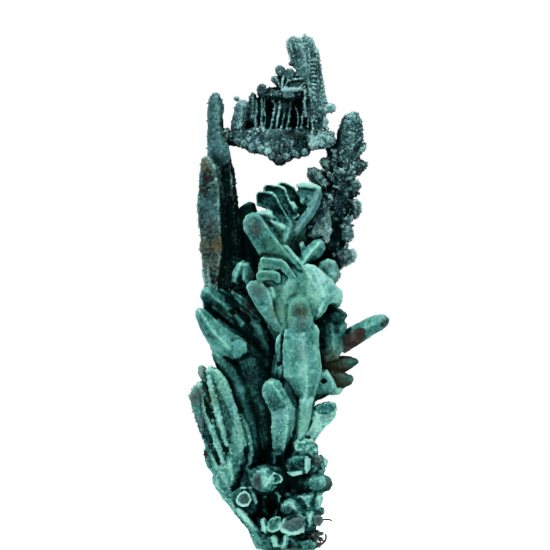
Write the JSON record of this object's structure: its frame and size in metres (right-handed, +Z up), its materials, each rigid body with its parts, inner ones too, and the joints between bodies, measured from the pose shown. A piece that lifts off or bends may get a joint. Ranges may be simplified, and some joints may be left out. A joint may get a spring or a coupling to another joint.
{
  "type": "branching native copper crystal group",
  "caption": "Upright branching group of native copper crystals with a green malachite skin, standing on a flat sawn foot",
  "frame": {"origin": "middle of the flat sawn foot that the group rests on", "axes": "+Z up along the group, -Y towards the showing side, +X to the right of someone facing the showing side"},
  "size_m": [0.04, 0.0198, 0.103],
  "materials": {
    "malachite_teal": "matt chalky green malachite skin over copper, paler on edges, dark in the recesses",
    "mottled_copper": "blue-green and brown mottled skin with ochre and bare copper patches",
    "dark_druse": "dark blue-green sugary druse with fine sparkle"
  },
  "bodies": {
    "root": {"root_cluster": "malachite_teal", "stem_cluster": "malachite_teal", "left_fan": "malachite_teal", "left_spire": "mottled_copper", "right_frond": "dark_druse", "crown_frond": "dark_druse"}
  },
  "joints": []
}
